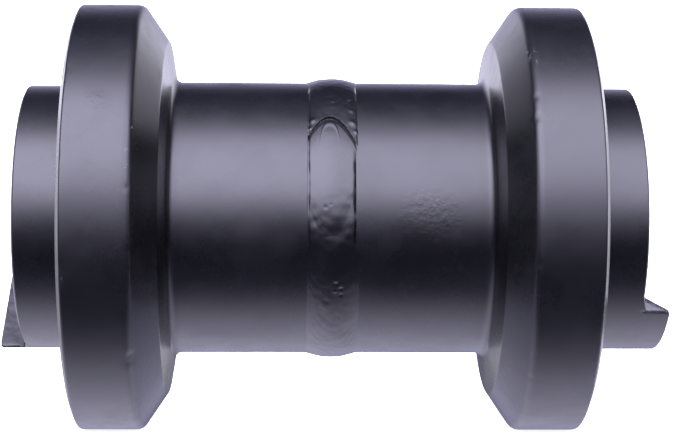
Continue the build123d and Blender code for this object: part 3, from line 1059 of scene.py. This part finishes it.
def make_shaft():
    """The shaft, bored at both ends to the thread's major size for the thread pieces."""
    groove_inner, groove_outer = SNAP_GROOVE
    half = [
        (SHAFT_END, SHAFT_END_RADIUS, SHAFT_BEVEL),
        (groove_outer, SHAFT_END_RADIUS, 0),
        (groove_outer, SNAP_GROOVE_RADIUS, 0),
        (groove_inner, SNAP_GROOVE_RADIUS, 0),
        (groove_inner, SHAFT_END_RADIUS, 0),
        (SHOULDER, SHAFT_END_RADIUS, 0),
        (SHOULDER, JOURNAL_RADIUS, SHAFT_BEVEL),
    ]
    bore = [
        (PLUG_SEAT, SHAFT_BORE_RADIUS, 0),
        (PLUG_SEAT, PLUG_SEAT_RADIUS, 0),
        (TAP_DEPTH_TO, PLUG_SEAT_RADIUS, 0),
        (TAP_DEPTH_TO, THREAD_MAJOR_RADIUS, 0),
        (SHAFT_END - MOUTH_BEVEL, THREAD_MAJOR_RADIUS, 0),
        (SHAFT_END, THREAD_MAJOR_RADIUS + MOUTH_WIDENING, 0),
    ]
    mirrored_half = [(-x, r, size) for x, r, size in reversed(half)]
    mirrored_bore = [(-x, r, size) for x, r, size in reversed(bore)]
    points, wear = rounded(half + mirrored_half + mirrored_bore + bore, steps=4)
    piece = turned("roller_shaft", points, wear, SHAFT_SEGMENTS)
    piece.data.materials.append(shaft_steel)
    piece.data.materials.append(paint_on_collars)
    for face in piece.data.polygons:
        out = abs(face.center.x) / MM
        radius = math.hypot(face.center.y, face.center.z) / MM
        painted = out > SHAFT_END - SHAFT_PAINT_DEPTH and radius > THREAD_MAJOR_RADIUS
        face.material_index = int(painted)
    stands_for(piece, "shaft", "shaft")


def make_thread(side_name):
    """The helical ridge of an internal M16 thread."""
    side = SIDES[side_name]
    turns = int((SHAFT_END - THREAD_END_GAP - THREAD_ROOT_END) / THREAD_PITCH) - 1
    count = turns * THREAD_STEPS
    foot_radius = THREAD_MAJOR_RADIUS + THREAD_SINK
    ridge = [
        (-RIDGE_FOOT, foot_radius),
        (-RIDGE_TOP, THREAD_MINOR_RADIUS),
        (RIDGE_TOP, THREAD_MINOR_RADIUS),
        (RIDGE_FOOT, foot_radius),
    ]
    vertices = []
    for step in range(count + 1):
        angle = 2 * math.pi * step / THREAD_STEPS
        middle = THREAD_START + THREAD_PITCH * step / THREAD_STEPS
        height = min(1.0, step / RIDGE_FADE_STEPS, (count - step) / RIDGE_FADE_STEPS)
        for along, radius in ridge:
            reach = foot_radius + (radius - foot_radius) * height
            y, z = reach * math.cos(angle), reach * math.sin(angle) * side
            vertices.append((side * (middle + along) * MM, y * MM, z * MM))
    corners = len(ridge)
    caps = [tuple(range(corners)), tuple(corners * count + k for k in reversed(range(corners)))]
    faces = caps + net_faces(count + 1, corners, closed=False)
    piece = new_object(f"{side_name}_thread", vertices, faces)
    piece.data.materials.append(thread_steel)
    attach(piece, "shaft")


# ---------------------------------------------------------------- CAD nodes that stay

SNAP_RING_BEVEL = 0.18


def dress_cad_nodes():
    """Gives each CAD node that stays its material, and breaks the snap rings' edges."""
    finishes = {
        "oil_plug": zinc_plate,
        "plug_seal": copper,
        "_bush": bronze,
        "_seal_ring": seal_iron,
        "_toric": nitrile,
        "_o_ring": nitrile,
        "_snap_ring": spring_steel,
    }
    for node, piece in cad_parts.items():
        for ending, material in finishes.items():
            if node.endswith(ending):
                piece.data.materials.clear()
                piece.data.materials.append(material)
        if node.endswith("_snap_ring"):
            edges = piece.modifiers.new("edges", "BEVEL")
            edges.width = SNAP_RING_BEVEL * MM
            edges.segments = 2
            edges.limit_method = "ANGLE"


# ---------------------------------------------------------------- studio

# Camera and floor, in metres
CAMERA_PLACE = (-0.012, -0.5543, 0.0001)
CAMERA_AIM = Vector((0.0265, 1.0, 0.0))
CAMERA_ROLL = 0.004
CAMERA_LENS = 95.66
SENSOR_WIDTH = 36
FLOOR_REACH = 6.0
FLOOR_CURVE = 1.2
FLOOR_CURVE_STEPS = 24
BACKDROP_HEIGHT = 5.0


def make_camera():
    """The camera that was fitted to the photo."""
    camera = bpy.data.cameras.new("camera")
    camera.lens = CAMERA_LENS
    camera.sensor_width = SENSOR_WIDTH
    piece = bpy.data.objects.new("camera", camera)
    piece.location = CAMERA_PLACE
    roll = Quaternion((0, 0, 1), CAMERA_ROLL)
    piece.rotation_euler = (CAMERA_AIM.to_track_quat("-Z", "Y") @ roll).to_euler()
    bpy.context.scene.collection.objects.link(piece)
    bpy.context.scene.camera = piece


def make_floor():
    """A pale floor that curves up into a backdrop far behind."""
    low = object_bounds()[LOW][Z]
    curve_start = FLOOR_REACH - FLOOR_CURVE
    section = [(-FLOOR_REACH, low), (curve_start, low)]
    for step in range(1, FLOOR_CURVE_STEPS + 1):
        turn = (math.pi / 2) * step / FLOOR_CURVE_STEPS
        y = curve_start + FLOOR_CURVE * math.sin(turn)
        section.append((y, low + FLOOR_CURVE * (1 - math.cos(turn))))
    section.append((FLOOR_REACH, low + BACKDROP_HEIGHT))
    vertices = [(side * FLOOR_REACH, y, z) for y, z in section for side in (-1, 1)]
    faces = [(2 * k, 2 * k + 1, 2 * k + 3, 2 * k + 2) for k in range(len(section) - 1)]
    mesh = bpy.data.meshes.new("floor")
    mesh.from_pydata(vertices, [], faces)
    mesh.shade_smooth()
    floor = bpy.data.objects.new("floor", mesh)
    bpy.context.scene.collection.objects.link(floor)
    mesh.materials.append(pale_floor())
    floor.visible_glossy = False


def pale_floor():
    """A nearly white matt floor that glows a little."""
    n = MaterialNodes("pale_floor")
    tone = n.ramp(n.noise(FLOOR_PATCH, detail=2), 0.3, 0.7)
    n.set(Specular_IOR_Level=0.1, Emission_Color=(1.0, 1.0, 1.0, 1.0), Emission_Strength=0.85)
    colour = n.mix_colour(tone, (0.86, 0.86, 0.87), (0.9, 0.9, 0.9))
    normal = n.bump(n.noise(FLOOR_GRAIN), FLOOR_BUMP)
    return n.finish(colour, n.ramp(tone, 0, 1, 0.8, 0.9), normal)


# Studio light. Levels by degrees about X: 0 is towards the camera, 90 overhead, 180 behind.
LIGHT_TINT = (0.99, 0.955, 1.26)
DIM_TINT = (0.97, 0.95, 1.65)
BACKDROP_TINT = (1.02, 1.0, 1.1)
BRIGHT_LEVEL = 1.3
LEVEL_SCALE = 10.0
WHITE_LEVEL = 1.1
STRIP_STOPS = [
    (-180, 1.4),
    (-176, 0.1),
    (-169, 0.1),
    (-164, 0.55),
    (-150, 1.1),
    (-136, 1.55),
    (-120, 2.15),
    (-102, 2.3),
    (-90, 1.95),
    (-79, 1.25),
    (-68, 0.56),
    (-56, 0.2),
    (-40, 0.12),
    (-26, 0.05),
    (-14, 0.25),
    (-5, 0.7),
    (4, 2.1),
    (14, 5.0),
    (22, 7.0),
    (30, 8.1),
    (56, 8.1),
    (64, 7.4),
    (72, 4.9),
    (80, 2.3),
    (90, 1.0),
    (102, 0.4),
    (116, 0.17),
    (134, 0.06),
    (150, 0.5),
    (166, 1.1),
    (180, 1.4),
]
# what the strip keeps towards the sides, by the direction's share of X
SIDE_STOPS = [(0.0, 1.0), (0.62, 1.0), (0.8, 0.6), (0.92, 0.3), (1.0, 0.3)]
# white backdrop to the left and right of the middle, down to a little below the horizon
BACKDROP_STOPS = [(-180, 1.7), (-171, 1.3), (-155, 0.0), (132, 0.0), (148, 1.3), (180, 1.6)]
BACKDROP_LEAN = 0.35
BACKDROP_SPREAD = [(0.2, 0.0), (0.32, 1.0), (1.0, 1.0)]
# how much brighter the strip is to the left, up to LEAN_REACH of the direction's share of X
STRIP_LEAN = 0.55
LEAN_REACH = 0.16


def around(stops):
    """Stops by degrees about X, as places from 0 to 1 and levels that a ramp can hold."""
    return [(degrees / 360 + 0.5, level / LEVEL_SCALE) for degrees, level in stops]


def strip_light(n, turn, x):
    """The softbox and the floor: levels round X, dimmer at the sides and brighter to the left."""
    sideways = n.levels(n.math("ABSOLUTE", x), SIDE_STOPS)
    strip = n.math("MULTIPLY", n.levels(turn, around(STRIP_STOPS)), sideways)
    lean = n.math("MAXIMUM", n.math("MINIMUM", x, LEAN_REACH), -LEAN_REACH)
    return n.math("MULTIPLY", strip, n.math("SUBTRACT", 1.0, n.math("MULTIPLY", lean, STRIP_LEAN)))


def backdrop_light(n, turn, x):
    """The white backdrop, a little brighter to the right."""
    spread = n.levels(n.math("ABSOLUTE", x), BACKDROP_SPREAD)
    backdrop = n.math("MULTIPLY", n.levels(turn, around(BACKDROP_STOPS)), spread)
    return n.math("MULTIPLY", backdrop, n.math("ADD", 1.0, n.math("MULTIPLY", x, BACKDROP_LEAN)))


def make_world():
    """Soft studio light: a softbox high in front, a pale floor, and a white backdrop.

    The camera itself sees plain white."""
    world = bpy.data.worlds.new("studio")
    bpy.context.scene.world = world
    n = Nodes(world)
    split = n.new("SeparateXYZ")
    n.link(n.coordinates["Generated"], split.inputs[0])
    x, y, z = split.outputs
    angle = n.math("ARCTAN2", z, n.math("MULTIPLY", y, -1.0))
    turn = n.math("ADD", n.math("DIVIDE", angle, 2 * math.pi), 0.5)

    strip, backdrop = strip_light(n, turn, x), backdrop_light(n, turn, x)
    both = n.math("MAXIMUM", n.math("ADD", strip, backdrop), 0.001)
    brightness = n.math("MULTIPLY", strip, LEVEL_SCALE / BRIGHT_LEVEL)
    tint = n.mix_colour(brightness, DIM_TINT, LIGHT_TINT)
    tint = n.mix_colour(n.math("DIVIDE", backdrop, both), tint, BACKDROP_TINT)

    seen = n.new("LightPath").outputs["Is Camera Ray"]
    unseen = n.math("SUBTRACT", 1.0, seen)
    light = n.math("MULTIPLY", n.math("MULTIPLY", both, LEVEL_SCALE), unseen)
    white = n.math("MULTIPLY", WHITE_LEVEL, seen)
    background = n.tree.nodes["Background"]
    n.link(tint, background.inputs["Color"])
    n.link(n.math("ADD", light, white), background.inputs["Strength"])


for side_name in SIDES:
    make_shell(side_name)
    make_collar(side_name)
    make_thread(side_name)
make_weld()
make_shaft()
dress_cad_nodes()
make_camera()
make_floor()
make_world()

scene = bpy.context.scene
scene.view_settings.view_transform = "Standard"
scene.view_settings.look = "None"
